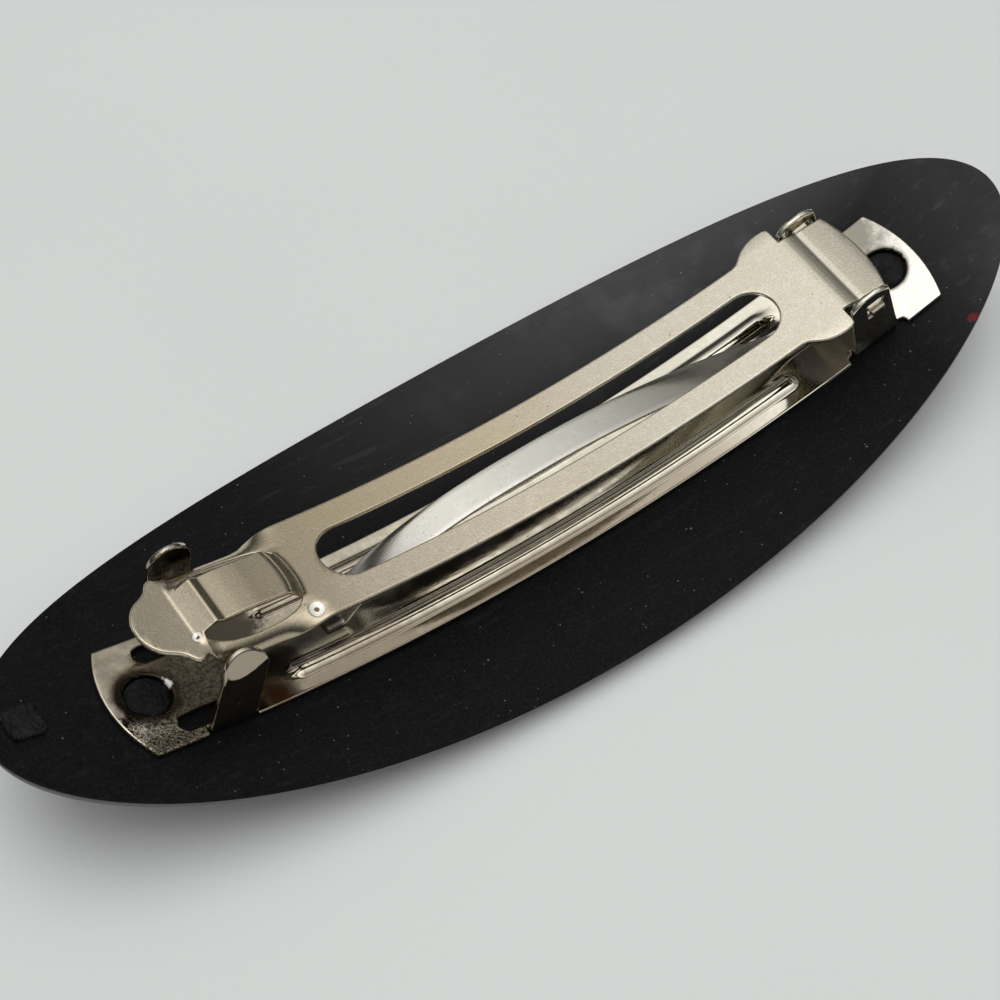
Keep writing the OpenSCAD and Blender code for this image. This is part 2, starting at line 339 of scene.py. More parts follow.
def drill(piece, x, y, radius):
    """Drills a round hole through a flat piece."""
    clear()
    place = (x, y, 0.0)
    bpy.ops.mesh.primitive_cylinder_add(vertices=64, radius=radius, depth=4.0 * MM, location=place)
    tool = bpy.context.object
    bpy.ops.object.transform_apply(location=True, rotation=True, scale=True)
    subtract(piece, tool)


def round_edges(piece, width, segments=2, angle=50.0):
    """Rounds the sharp edges of a piece and merges points that fall together."""
    apply(
        piece,
        "BEVEL",
        width=width,
        segments=segments,
        limit_method="ANGLE",
        angle_limit=math.radians(angle),
        use_clamp_overlap=False,
        harden_normals=False,
    )
    edit(piece)
    everything()
    together = 0.002 * MM
    bpy.ops.mesh.remove_doubles(threshold=together)
    bpy.ops.mesh.dissolve_degenerate(threshold=together)
    done()


def bend_along(piece, radius):
    """Bends a flat piece upwards along its length to a radius."""
    clear()
    bpy.ops.object.empty_add(rotation=(math.pi / 2, 0.0, 0.0))
    jig = bpy.context.object
    bpy.context.view_layer.update()
    places = [point.co.x for point in piece.data.vertices]
    apply(
        piece,
        "SIMPLE_DEFORM",
        deform_method="BEND",
        deform_axis="Z",
        angle=(max(places) - min(places)) / radius,
        origin=jig,
    )
    bpy.data.objects.remove(jig, do_unlink=True)


def settle(piece, offset):
    """Puts a finished piece at its place in the part, with its object at the origin."""
    take(piece)
    piece.location = offset
    bpy.ops.object.transform_apply(location=True, rotation=True, scale=True)
    bpy.ops.object.shade_smooth_by_angle(angle=math.radians(40.0))
    apply(piece, "WEIGHTED_NORMAL", keep_sharp=True)


def bend_point(piece, place, radius):
    """Turns a small upright piece, modelled at a place along the flat strip, onto the bend."""
    turn = place / radius
    there = Matrix.Translation((math.sin(turn) * radius, 0.0, radius * (1 - math.cos(turn))))
    back = Matrix.Translation((-place, 0.0, 0.0))
    piece.data.transform(there @ Matrix.Rotation(-turn, 4, "Y") @ back)


def on_ring(point, along, radius, slack=2e-6):
    """Whether a point lies on the edge of a tab hole at either end."""
    return abs(math.hypot(abs(point.x) - along, point.y) - radius) < slack


def join(piece, other):
    """Makes another object part of a piece."""
    take(piece)
    other.select_set(True)
    bpy.ops.object.join()


def press(piece, form):
    """Moves each point of a flat piece to where a press tool would put it."""
    for point in piece.data.vertices:
        point.co = form(point.co.copy())
    piece.data.update()


def smooth_step(low, high, value):
    """Rises smoothly from 0 to 1 between two values."""
    part = min(1.0, max(0.0, (value - low) / (high - low)))
    return part * part * (3 - 2 * part)


def arm_u(s):
    """Flat length along the arm for a distance along the clip given in millimetres."""
    radius, top = arm_radii()
    return top * math.asin((top * math.sin(s * MM / radius) - ARM_SHIFT) / top)


def arm_s(u):
    """Distance along the clip, in metres, for a flat length along the arm."""
    radius, top = arm_radii()
    return radius * math.asin((top * math.sin(u / top) + ARM_SHIFT) / top)


def arm_radii():
    """The bend radius of the strip and that of the arm over it."""
    radius = bpy.context.scene.barrette_clip.bend_radius
    return radius, radius - bpy.context.scene.barrette_arm.rise


def between(points, value):
    """Height at a value on a line through points."""
    if value <= points[0][0]:
        return points[0][1]
    for (x0, y0), (x1, y1) in zip(points, points[1:]):
        if value <= x1:
            return y0 + (y1 - y0) * (value - x0) / (x1 - x0)
    return points[-1][1]


def rounded(line, s, reach, steps):
    """Height at a place on a line through points, with its bends rounded."""
    return sum(between(line, s + reach * k) for k in steps) / len(steps)


def bridge_lift(s):
    """How far the bridge is lifted out of the arm, with small rounds at its bends."""
    line = [(-35.5, 0.0), (-33.96, 1.27), (-33.86, 1.31), (-33.78, 1.3), (-33.08, 1.1), (-32.9, 1.12)]
    line += [(-31.5, 1.29), (-30.0, 1.35), (-27.1, 1.28), (-26.75, 1.12), (-25.55, 0.12), (-25.3, 0.0)]
    return rounded(line, s, 0.1 if s < -32.0 else 0.25, (-1.0, -0.6, -0.2, 0.2, 0.6, 1.0))


def knuckle_form(s):
    """How far the hinge end of the arm leaves the plain bend: a crease, then an arch."""
    line = [(30.0, 0.0), (30.5, -0.05), (30.95, -0.19), (31.4, -0.38), (31.8, -0.58), (31.9, -0.61)]
    line += [(32.03, -0.58), (32.3, -0.57), (32.8, -0.66), (33.4, -0.79), (34.2, -0.98), (34.75, -1.12)]
    line += [(35.5, -1.4)]
    return rounded(line, s, 0.09, (-1.0, -0.5, 0.0, 0.5, 1.0))


def ear_points(piece, low, high, foot, side, start):
    """The points of a flat ear between two places in millimetres, with how far out each is."""
    shape = bmesh.from_edit_mesh(piece.data)
    ear = {}
    for point in shape.verts:
        out = point.co.y * side
        beside = foot * MM < point.co.x < high * MM or out > (TAB_HALF + 0.1) * MM
        if out > start - 0.001 * MM and low * MM < point.co.x < high * MM and beside:
            ear[point.index] = out
    return ear


def fold(piece, ear, side, start, angle, inner, sheet, count=6):
    """Folds an ear up in small turns, from its outer end to where the fold starts."""
    arc = math.radians(angle) * (inner + sheet / 2)
    for k in reversed(range(count)):
        line = start + arc * (k + 0.5) / count
        bpy.ops.mesh.select_mode(type="VERT")
        bpy.ops.mesh.select_all(action="DESELECT")
        shape = bmesh.from_edit_mesh(piece.data)
        shape.verts.ensure_lookup_table()
        for number, out in ear.items():
            shape.verts[number].select = out > line
        shape.select_flush_mode()
        bmesh.update_edit_mesh(piece.data)
        bpy.ops.transform.rotate(
            value=FOLD_SIGN * side * math.radians(angle) / count,
            orient_axis="X",
            center_override=(0.0, side * line, -sheet / 2),
        )


class BARRETTE_OT_plate(bpy.types.Operator):
    """Models the oval plate with its rim, its rough patch and its two studs"""

    bl_idname = "barrette.plate"
    bl_label = "Model The Plate"

    def execute(self, context):
        size = context.scene.barrette_plate
        clip = context.scene.barrette_clip
        half_long = size.length / 2
        half_wide = size.width / 2
        clear()
        bpy.ops.mesh.primitive_circle_add(vertices=288, radius=1.0, fill_type="NGON")
        plate = context.object
        plate.name = plate.data.name = "oval_plate_body"
        edit(plate)
        everything()
        # Each ring is set in from the outline by so much, and lies so far under the back face
        rings = [(0.12, 0.0), (0.05, 0.02), (0.015, 0.06), (0.0, 0.12), (0.0, 0.3)]
        rings += [(0.14, 0.62), (0.42, 1.02), (0.95, 1.45), (1.6, 1.8), (2.4, 2.0)]
        wide = (1.0, 1.0)
        deep = 0.0
        for inset, depth in rings:
            if depth:
                extrude(z=(deep - depth) * MM)
            new = (half_long - inset * MM, half_wide - inset * MM)
            resize(new[0] / wide[0], new[1] / wide[1], 1.0)
            wide = new
            deep = depth
        everything()
        bpy.ops.mesh.normals_make_consistent(inside=False)
        move(x=size.shift, z=size.top)
        step = 1.1 * MM
        slice_at("x", evenly(-half_long + MM, half_long - 2 * MM, step))
        done()
        bend_along(plate, clip.bend_radius)
        settle(plate, (clip.origin[0], 0.0, clip.origin[2]))
        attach(plate, "back")
        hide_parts("oval_plate")
        plate.data.materials.append(black_plastic())
        hole_place = context.scene.barrette_strip.hole_place
        for name, place in (("stud_latch", -hole_place), ("stud_hinge", hole_place)):
            stud = self.stud(clip, name, place)
            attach(stud, "back")
            stud.data.materials.append(rough_black())
        patch = self.patch(clip)
        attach(patch, "back")
        patch.data.materials.append(rough_black())
        return {"FINISHED"}

    def stud(self, clip, name, place):
        """A rough plastic stud that fills a hole of the strip."""
        radius = 1.8 * MM
        height = 0.5 * MM
        clear()
        bpy.ops.mesh.primitive_ico_sphere_add(subdivisions=4, radius=1.0)
        stud = bpy.context.object
        stud.name = stud.data.name = name
        edit(stud)
        everything()
        resize(radius, radius, height)
        bpy.ops.transform.vertex_random(offset=0.06 * MM, uniform=0.4, normal=0.7, seed=5)
        bpy.ops.mesh.subdivide(
            number_cuts=1, smoothness=0.2, fractal=0.5, fractal_along_normal=0.8, seed=4
        )
        move(x=place, z=-height)
        done()
        bend_point(stud, place, clip.bend_radius)
        settle(stud, tuple(clip.origin))
        return stud

    def patch(self, clip):
        """The small rough square near the latch end of the plate."""
        patch = box(3.0 * MM, 2.9 * MM, 0.7 * MM)
        patch.name = patch.data.name = "rough_patch"
        pick("EDGE", lambda a, b: abs(a.z - b.z) > 0.3 * MM)
        bpy.ops.mesh.bevel(offset=0.6 * MM, segments=5, affect="EDGES")
        step = 0.2 * MM
        slice_at("x", evenly(-1.4 * MM, 1.4 * MM, step))
        slice_at("y", evenly(-1.3 * MM, 1.3 * MM, step))
        pick("VERT", lambda c: c.z > 0.3 * MM)
        bpy.ops.transform.vertex_random(offset=0.13 * MM, uniform=0.3, normal=0.6, seed=3)
        done()
        round_edges(patch, 0.1 * MM, segments=2, angle=60.0)
        edit(patch)
        everything()
        move(x=PATCH_PLACE * MM, y=1.6 * MM, z=-0.6 * MM)
        done()
        bend_point(patch, PATCH_PLACE * MM, clip.bend_radius)
        settle(patch, tuple(clip.origin))
        return patch


class BARRETTE_OT_strip(bpy.types.Operator):
    """Models the pressed base strip with its beads, holes, windows and four ears"""

    bl_idname = "barrette.strip"
    bl_label = "Model The Base Strip"

    def execute(self, context):
        clip = context.scene.barrette_clip
        size = context.scene.barrette_strip
        hole = (size.hole_place, size.hole_radius)
        strip = blank("base_strip_pressed", self.outline(), clip.sheet)
        for side in (-1, 1):
            self.latch_tab(strip, side, size.ear_length)
            self.hinge_tab(strip, side)
            # The window beside the latch, then the hole for the lug in the hinge ear
            near, far = sorted((side * 2.75 * MM, side * 4.35 * MM))
            cut_out(strip, -36.5 * MM, -30.9 * MM, near, far, round_left=0.79 * MM)
            near, far = sorted((side * 9.613 * MM, side * 11.613 * MM))
            cut_out(strip, 31.85 * MM, 33.55 * MM, near, far)
            drill(strip, side * hole[0], 0.0, hole[1])
        edit(strip)
        top = -0.001 * MM
        pick("EDGE", lambda a, b: min(a.z, b.z) > top and on_ring(a, *hole) and on_ring(b, *hole))
        bpy.ops.mesh.bevel(offset=0.3 * MM, segments=4, affect="EDGES")
        done()
        round_edges(strip, clip.edge, segments=4)
        edit(strip)
        # Cross lines all along, then closer ones at the latch ears, the holes and the bead ends
        slice_at("x", [v * MM for v in evenly(-40.0, 39.8, 0.7)])
        slice_at("y", [side * v * MM for side in (-1, 1) for v in evenly(9.8, 14.8, 0.25)])
        slice_at("x", [v * MM for v in evenly(-35.9, -30.7, 0.26)])
        slice_at("x", [v * MM for v in (-39.65, -38.95, -35.15, -34.45, 34.9, 35.6)])
        slice_at("x", [v * MM for v in evenly(-25.8, -24.8, 0.12) + evenly(23.8, 25.9, 0.14)])
        # Lengthwise lines for the beads and for the folds of the ears
        rows = evenly(2.35, 4.15, 0.1) + [2.1, 4.3, 4.5, 4.65, 4.78, 4.91, 5.04, 5.17, 5.3, 1.2]
        for side in (-1, 1):
            slice_at("y", [side * v * MM for v in rows])
        done()
        press(strip, lambda c: self.bead_form(c, size))
        press(strip, self.ear_form)
        edit(strip)
        # The rim of the hole at the latch end is pressed in a little
        pick("VERT", lambda c: c.x < 0 and on_ring(c, *hole, 0.12 * MM))
        soft_move(-0.05 * MM, 0.7 * MM)
        self.fold_ears(strip, clip)
        done()
        bend_along(strip, clip.bend_radius)
        settle(strip, tuple(clip.origin))
        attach(strip, "back")
        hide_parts("base_strip")
        strip.data.materials.append(nickel_plate())
        return {"FINISHED"}

    def outline(self):
        """Half widths of the flat strip along its length, in metres."""
        widths = [0.5, 1.3, 2.1, 2.9, 3.6, 4.2, 4.7, 5.1, TAB_HALF]
        # Each end is an arc of its own radius
        stations = [(-30.29 - math.sqrt(10.41**2 - half**2), half) for half in widths]
        stations += [(-34.72, TAB_HALF)]
        stations += [(place, LATCH_ROOT) for place in (-34.71, -34.59, -30.51, -30.39)]
        stations += [(-30.38, TAB_HALF), (29.4, TAB_HALF), (29.41, 5.0), (29.52, 4.72), (29.8, 4.6)]
        stations += [(30.1, 4.6)]
        stations += [(place, HINGE_ROOT) for place in (30.11, 30.2, 34.8, 34.89)]
        stations += [(34.9, 4.6), (35.2, 4.6), (35.48, 4.72), (35.59, 5.0), (35.6, TAB_HALF)]
        stations += [(26.4 + math.sqrt(13.9**2 - half**2), half) for half in reversed(widths)]
        return [(place * MM, half * MM) for place, half in stations]

    def pick_edge_face(self, side, place, root):
        """Selects the narrow face of the strip's edge where an ear starts."""
        pick(
            "FACE",
            lambda c, n: abs(c.x - place * MM) < 0.1 * MM
            and abs(c.y - side * root * MM) < 0.01 * MM
            and n.y * side > 0.9,
        )

    def latch_tab(self, strip, side, length):
        """Draws out the flat ear that later stands beside the latch, with a round top."""
        edit(strip)
        self.pick_edge_face(side, -32.55, LATCH_ROOT)
        extrude(y=side * length)
        move(x=-0.72 * MM)
        pick("EDGE", lambda a, b: abs(a.z - b.z) > 0.4 * MM and a.y * side > 14.0 * MM)
        bpy.ops.mesh.bevel(offset=2.0 * MM, segments=14, affect="EDGES")
        done()

    def hinge_tab(self, strip, side):
        """Draws out the flat ear that later carries the arm, with a shallow arched top."""
        edit(strip)
        middle = 32.5
        half = 2.3
        # The ear leans this far toward the latch in its first step
        lean = 0.24
        self.pick_edge_face(side, middle, HINGE_ROOT)
        steps = [(7.963, 2.08), (0.2, 1.86), (0.2, 1.55), (0.17, 1.2), (0.12, 0.85), (0.06, 0.45)]
        for step, wide in steps:
            extrude(y=side * step * MM)
            resize(wide / half, 1.0, 1.0, (middle * MM, 0.0, 0.0))
            half = wide
            move(x=-lean * MM)
            middle -= lean
            lean = 0.0
        done()

    def bead_form(self, place, size):
        """Where the press puts a point of the flat strip: up in the two long beads."""
        # Both beads start at one place, and the far one runs on a little further to the hinge
        first = -25.3 * MM
        last = 25.9 * MM if place.y > 0 else 24.1 * MM
        middle = 3.25 * MM
        beyond = max(0.0, first - place.x, place.x - last)
        aside = abs(abs(place.y) - middle)
        away = min(1.0, math.hypot(beyond, aside) / size.bead_half)
        return place + Vector((0.0, 0.0, size.bead_height * (1 - away**2.1)))

    def ear_form(self, place):
        """Leans the round head of the near latch ear inward, from a curved crease on."""
        if place.x > -30.0 * MM or place.y > -9.0 * MM:
            return place
        crease = 11.2 + 0.3 * (place.x / MM + 34.1) ** 2
        past = max(0.0, abs(place.y) / MM - crease)
        bend = 1.1
        lean = math.radians(14.0)
        rise = lean * (past**2 / (2 * bend) if past < bend else past - bend / 2)
        return place + Vector((0.0, 0.0, rise * MM))

    def fold_ears(self, strip, clip):
        """Folds the four ears up to where they stand."""
        # How far each latch ear is folded, the near one and the far one, and the hinge ears
        latch_fold = {-1: 85.1, 1: 83.8}
        hinge_fold = 88.7
        for side in (-1, 1):
            root = LATCH_ROOT * MM
            ear = ear_points(strip, low=-36.0, high=-30.45, foot=-34.65, side=side, start=root)
            if side > 0:
                # The far ear also curves gently inward toward its top
                fold(strip, ear, side, 10.8 * MM, angle=11.0, inner=16.0 * MM, sheet=clip.sheet, count=10)
            fold(strip, ear, side, root, latch_fold[side], FOLD_INNER, clip.sheet)
            root = HINGE_ROOT * MM
            ear = ear_points(strip, low=30.0, high=35.0, foot=30.15, side=side, start=root)
            fold(strip, ear, side, root, hinge_fold, FOLD_INNER, clip.sheet)


class BARRETTE_OT_arm(bpy.types.Operator):
    """Models the pressed arm with its long slot, its lifted bridge and its hinge knuckle"""

    bl_idname = "barrette.arm"
    bl_label = "Model The Arm"

    def execute(self, context):
        clip = context.scene.barrette_clip
        size = context.scene.barrette_arm
        arm = blank("clasp_arm_pressed", self.outline(), clip.sheet)
        half = size.slot_half
        end = half - 0.01 * MM
        cut_out(arm, arm_u(-22.25), arm_u(25.8), -half, half, end, end)
        for side in (-1, 1):
            self.cut_slit(arm, side)
        round_edges(arm, clip.edge * 0.95, segments=4)
        edit(arm)
        # Cross lines all along, then closer ones at the bridge's ramps and the knuckle
        slice_at("x", [arm_u(s) for s in evenly(-39.4, 35.2, 0.45)])
        slice_at("x", [arm_u(s) for s in evenly(-36.4, -32.6, 0.12) + evenly(-27.5, -24.6, 0.12)])
        slice_at("x", [arm_u(s) for s in evenly(29.6, 32.4, 0.12)])
        for side in (-1, 1):
            slice_at("y", [side * v * MM for v in evenly(1.6, 4.8, 0.14)])
        slice_at("y", [v * MM for v in (-1.2, -0.4, 0.4, 1.2)])
        done()
        press(arm, lambda c: self.form(c, size.dent_deep))
        bend_along(arm, clip.bend_radius - size.rise)
        arm.data.transform(Matrix.Translation((ARM_SHIFT, 0.0, size.rise)))
        for side in (-1, 1):
            join(arm, self.cheek(clip, size.cheek_radius, side))
        settle(arm, tuple(clip.origin))
        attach(arm, "arm")
        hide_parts("clasp_arm")
        arm.data.materials.append(satin_metal())
        return {"FINISHED"}

    def outline(self):
        """Half widths of the flat arm along its length, in metres."""
        tip = 2.88
        turns = [math.radians(turn) for turn in range(10, 71, 12)]
        stations = [(-36.9 - tip * math.cos(turn), tip * math.sin(turn)) for turn in turns]
        # The tongue with its two pointed shoulders
        stations += [(-37.4, 2.95), (-37.0, 3.3), (-36.75, 3.65), (-36.5, 3.92), (-36.2, 4.06)]
        stations += [(-35.9, 4.04), (-35.6, 3.86), (-35.3, 3.76), (-35.0, 3.85), (-34.7, 4.1)]
        stations += [(-34.3, 4.42), (-33.8, 4.7)]
        # The bridge and the two rails
        stations += [(-33.2, 4.83), (-32.5, 4.86), (-27.5, 4.86), (-26.5, 4.8), (-25.5, 4.77), (-24.0, 4.75)]
        # The wide shoulders, then the knuckle with its arched end
        stations += [(25.0, 4.75), (25.5, 4.85), (25.9, 5.08), (26.4, 5.43), (26.9, 5.7), (27.5, 5.92)]
        stations += [(28.2, 6.06), (28.9, 6.1), (29.5, 6.06), (29.85, 5.9), (29.95, 5.7), (30.0, 4.3)]
        stations += [(34.65, 4.3)]
        arc = 12.0
        stations += [(35.45 - arc + math.sqrt(arc**2 - half**2), half) for half in (3.9, 3.2, 2.4, 1.5, 0.5)]
        return [(arm_u(s), half * MM) for s, half in stations]

    def cut_slit(self, arm, side):
        """Cuts the lens-shaped opening beside the bridge."""
        lens = [(-34.9, 2.25), (-34.6, 2.55), (-34.2, 2.8), (-33.6, 3.05), (-32.7, 3.27), (-31.5, 3.4)]
        lens += [(-30.3, 3.42), (-29.0, 3.36), (-27.8, 3.24), (-26.9, 3.08), (-26.3, 2.86), (-25.8, 2.5)]
        lens += [(-25.6, 2.25)]
        inner = 2.2 * MM
        depth = 4.0 * MM
        tool = blank("slit_tool", [(arm_u(s), half * MM) for s, half in lens], depth)
        edit(tool)
        everything()
        move(z=depth / 2)
        everything()
        bpy.ops.mesh.bisect(
            plane_co=(0.0, side * inner, 0.0),
            plane_no=(0.0, side, 0.0),
            clear_inner=True,
            use_fill=True,
            threshold=HAIR,
        )
        done()
        subtract(arm, tool)

    def form(self, place, deep):
        """Where the press puts a point of the flat arm."""
        s = arm_s(place.x) / MM
        side = 1.0 if place.y > 0 else -1.0
        out = abs(place.y) / MM
        depth = -place.z / MM
        strength = smooth_step(-35.9, -33.9, s) * (1 - smooth_step(-28.5, -23.9, s))
        lift = 0.0
        bow = 0.4 * (1 - min(1.0, out / 2.3) ** 2) * smooth_step(-29.0, -27.0, s)
        if out < 2.24:
            lift = bridge_lift(s - bow)
        elif s < -34.92:
            lift = bridge_lift(s) * (1 - smooth_step(2.2, 3.1, out))
        elif strength:
            lift = -0.2 * strength * smooth_step(2.3, 2.9, out)
        y = out
        z = lift - depth
        # Beside the bridge the rails curl down from here on, about the middle of the sheet
        curl = 3.0
        radius = 1.175
        core = 0.225
        if out > curl and strength:
            turn = (out - curl) / radius * strength
            y = curl + (radius / strength + core - depth) * math.sin(turn)
            z = lift - core - (radius / strength) * (1 - math.cos(turn)) + (core - depth) * math.cos(turn)
        z += knuckle_form(s)
        # Two round dents: where along the clip, where across it, and how wide
        for s_dent, y_dent, wide in ((-35.45, -2.2, 0.42), (-25.19, -3.72, 0.8)):
            away = math.hypot(s - s_dent, place.y / MM - y_dent) / wide
            z -= deep * wide * (1 - smooth_step(0.25, 1.0, away))
        return Vector((place.x, side * y * MM, z * MM))

    def cheek(self, clip, radius, side):
        """A round cheek under the knuckle with the lug that turns in the strip's ear."""
        clear()
        bpy.ops.mesh.primitive_cylinder_add(
            vertices=48, radius=radius, depth=clip.sheet, rotation=(math.pi / 2, 0.0, 0.0)
        )
        cheek = bpy.context.object
        bpy.ops.object.transform_apply(location=True, rotation=True, scale=True)
        edit(cheek)
        pick("FACE", lambda c, n: n.y * side > 0.9)
        bpy.ops.mesh.inset(thickness=0.4 * radius)
        done()
        round_edges(cheek, 0.06 * MM)
        # The lug reaches out of the cheek into the hole of the ear
        lug = box(1.35 * MM, 1.25 * MM, 0.65 * MM)
        move(y=side * 0.8 * MM)
        done()
        round_edges(lug, 0.09 * MM, segments=3)
        join(cheek, lug)
        edit(cheek)
        everything()
        move(x=LUG_PLACE * MM, y=side * 4.075 * MM, z=5.85 * MM)
        done()
        bend_point(cheek, LUG_PLACE * MM, clip.bend_radius)
        return cheek


class BARRETTE_OT_spring(bpy.types.Operator):
    """Models the bowed spring strip between the base strip and the arm"""

    bl_idname = "barrette.spring"
    bl_label = "Model The Spring Strip"

    def execute(self, context):
        clip = context.scene.barrette_clip
        size = context.scene.barrette_spring
        path = self.side_view(size.height / MM)
        clear()
        bpy.ops.mesh.primitive_grid_add(x_subdivisions=len(path) - 1, y_subdivisions=6, size=1.0)
        spring = context.object
        spring.name = spring.data.name = "spring_strip_bowed"
        edit(spring)
        everything()
        resize(1.0, size.width, 1.0)
        done()
        last = len(path) - 1

        def onto_path(place):
            along, height = path[round((place.x + 0.5) * last)]
            return Vector((along, place.y, height))

        press(spring, onto_path)
        apply(spring, "SOLIDIFY", thickness=size.thickness, offset=-1.0, use_even_offset=True)
        round_edges(spring, 0.08 * MM, segments=3)
        bend_along(spring, clip.bend_radius)
        settle(spring, tuple(clip.origin))
        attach(spring, "back")
        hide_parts("spring_strip")
        spring.data.materials.append(bright_spring())
        return {"FINISHED"}

    def side_view(self, height):
        """Points along the top of the spring, in metres, evenly apart."""
        foot = 0.5
        steps = 60
        rough = [(s, 0.38) for s in evenly(-21.6, -20.5, 0.5)]
        # Steep at the latch foot, then one long flat bow down to the hinge foot
        for k in range(1, steps):
            s = -20.0 * (1 - (k / steps) ** 1.6)
            rough.append((s, max(foot, height * (1 - (s / -20.0) ** 2.4) ** 0.65)))
        rough += [(s, height * (1 - (s / 26.5) ** 2)) for s in evenly(0.0, 25.6, 0.5)]
        rough += [(26.3, foot), (28.2, foot)]
        path = [rough[0]]
        for before, here, after in zip(rough, rough[1:], rough[2:]):
            path.append((here[0], (before[1] + here[1] + after[1]) / 3))
        path.append(rough[-1])
        lengths = [0.0]
        for a, b in zip(path, path[1:]):
            lengths.append(lengths[-1] + math.hypot(b[0] - a[0], b[1] - a[1]))
        even = []
        k = 0
        for want in evenly(0.0, lengths[-1], 0.55):
            while k < len(path) - 2 and lengths[k + 1] < want:
                k += 1
            part = (want - lengths[k]) / (lengths[k + 1] - lengths[k])
            even.append(tuple((path[k][j] + (path[k + 1][j] - path[k][j]) * part) * MM for j in (0, 1)))
        return even


class BARRETTE_OT_stage(bpy.types.Operator):
    """Sets the pale table, the soft light and the camera"""

    bl_idname = "barrette.stage"
    bl_label = "Set The Stage"

    def execute(self, context):
        scene = context.scene
        settings = scene.barrette_stage
        build_groups()
        clear()
        bpy.ops.mesh.primitive_plane_add(size=3.0)
        table = context.object
        table.name = "table"
        table.data.materials.append(table_finish())
        camera_data = bpy.data.cameras.new("camera")
        camera_data.lens = settings.lens
        camera_data.sensor_width = 36.0
        camera_data.clip_start = 0.01
        camera = bpy.data.objects.new("camera", camera_data)
        camera.location = settings.camera_place
        camera.rotation_euler = [math.radians(v) for v in settings.camera_turn]
        scene.collection.objects.link(camera)
        scene.camera = camera
        key_data = bpy.data.lights.new("ceiling_light", "AREA")
        key_data.shape = "RECTANGLE"
        key_data.size = key_data.size_y = 1.9
        key_data.energy = settings.key_energy
        key_data.color = (1.0, 0.995, 0.985)
        key = bpy.data.objects.new("ceiling_light", key_data)
        key.location = (0.05, 0.15, 2.0)
        key.rotation_euler = (Vector(key.location)).to_track_quat("Z", "Y").to_euler()
        key.visible_glossy = False
        scene.collection.objects.link(key)
        scene.world = room_light(settings.room_strength)
        scene.view_settings.view_transform = "Standard"
        return {"FINISHED"}


# Colours and shades of the finishes that a user has no need to change
SHADES = {
    "scuff": (0.085, 0.082, 0.087),
    "black_stain": (0.0075, 0.0075, 0.0078),
    "black_grain": (0.04, 0.04, 0.043),
    "dust": (0.34, 0.35, 0.37),
    # Painted highlight along the plate's rim
    "plate_rim": (0.17, 0.17, 0.18),
    "red_chip": (0.13, 0.02, 0.02),
    "torn_low": (0.003, 0.003, 0.0033),
    "torn_high": (0.012, 0.0115, 0.011),
    "pit": (0.12, 0.095, 0.07),
    "far_rail": (0.68, 0.56, 0.36),
    "near_rail": (0.80, 0.73, 0.59),
    "fresh_tongue": (0.92, 0.83, 0.66),
    "sand": (0.2, 0.19, 0.17),
    "arm_stain": (0.52, 0.44, 0.30),
    # Painted glint about a dent of the arm, with its darker painted centre
    "rivet": (0.95, 0.94, 0.90),
    "rivet_core": (0.16, 0.12, 0.08),
    # Painted shade on the underside of the arm
    "underside": (0.26, 0.235, 0.19),
    "hinge_tab": (0.9, 0.88, 0.80),
    "tab_mottle": (0.24, 0.23, 0.195),
    "dirty_rim": (0.24, 0.19, 0.135),
    # Stains of the strip, also laid as painted shade under the latch end of the arm
    "strip_stain": (0.36, 0.30, 0.22),
    # Painted shade on the strip under the arm's bridge
    "hollow": (0.10, 0.085, 0.065),
    "brown": (0.13, 0.075, 0.04),
    "crust": (0.10, 0.08, 0.055),
    # Grainy grime with painted shade, under the latch end of the arm
    "grime": (0.085, 0.07, 0.05),
    # Painted shade, mottled, on the inner face of the far latch ear
    "ear_mottle": (0.07, 0.055, 0.04),
    "hole_ring": (0.05, 0.038, 0.026),
    # Wear with a painted highlight at the rim of the latch hole
    "worn_rim": (0.95, 0.94, 0.9),
    "spring_stain": (0.50, 0.47, 0.41),
    # Painted shade on the spring's latch foot
    "spring_foot": (0.09, 0.08, 0.065),
    "table_low": (0.68, 0.70, 0.695),
    "table_spot": (0.3, 0.3, 0.29),
}


def tint(name):
    """One of the colours that a user can change."""
    return tuple(getattr(bpy.context.scene.barrette_colours, name))


def add(tree, kind, **values):
    """Adds a node in the next free place and sets its own properties."""
    node = tree.nodes.new("ShaderNode" + kind)
    column, row = divmod(len(tree.nodes), NODE_ROWS)
    node.location = (NODE_STEP * (column - NODE_ROWS), -NODE_STEP * row)
    for key, value in values.items():
        setattr(node, key, value)
    return node


def feed(tree, socket, value):
    """Links a socket to another one, or sets it to a number, a vector or a colour."""
    if isinstance(value, (int, float)):
        socket.default_value = value
    elif isinstance(value, tuple):
        socket.default_value = (*value, 1.0) if socket.type == "RGBA" else value
    else:
        tree.links.new(value, socket)


def math_node(tree, operation, first, second, clamp=False):
    """A Math node between two sockets or numbers."""
    node = add(tree, "Math", operation=operation, use_clamp=clamp)
    feed(tree, node.inputs[0], first)
    feed(tree, node.inputs[1], second)
    return node.outputs[0]


def plus(tree, first, second):
    """Adds two sockets or numbers."""
    return math_node(tree, "ADD", first, second)


def times(tree, first, second):
    """Multiplies two sockets or numbers."""
    return math_node(tree, "MULTIPLY", first, second)


def most(tree, first, second):
    """The larger of two sockets."""
    return math_node(tree, "MAXIMUM", first, second)


def vector_node(tree, operation, first, second=(0.0, 0.0, 0.0)):
    """A Vector Math node; distances, lengths and dot products come out as numbers."""
    node = add(tree, "VectorMath", operation=operation)
    feed(tree, node.inputs[0], first)
    feed(tree, node.inputs[1], second)
    return node.outputs["Value" if operation in ("DISTANCE", "LENGTH", "DOT_PRODUCT") else "Vector"]


def parts_of(tree, vector):
    """The x, y and z of a vector socket."""
    node = add(tree, "SeparateXYZ")
    tree.links.new(vector, node.inputs[0])
    return node.outputs


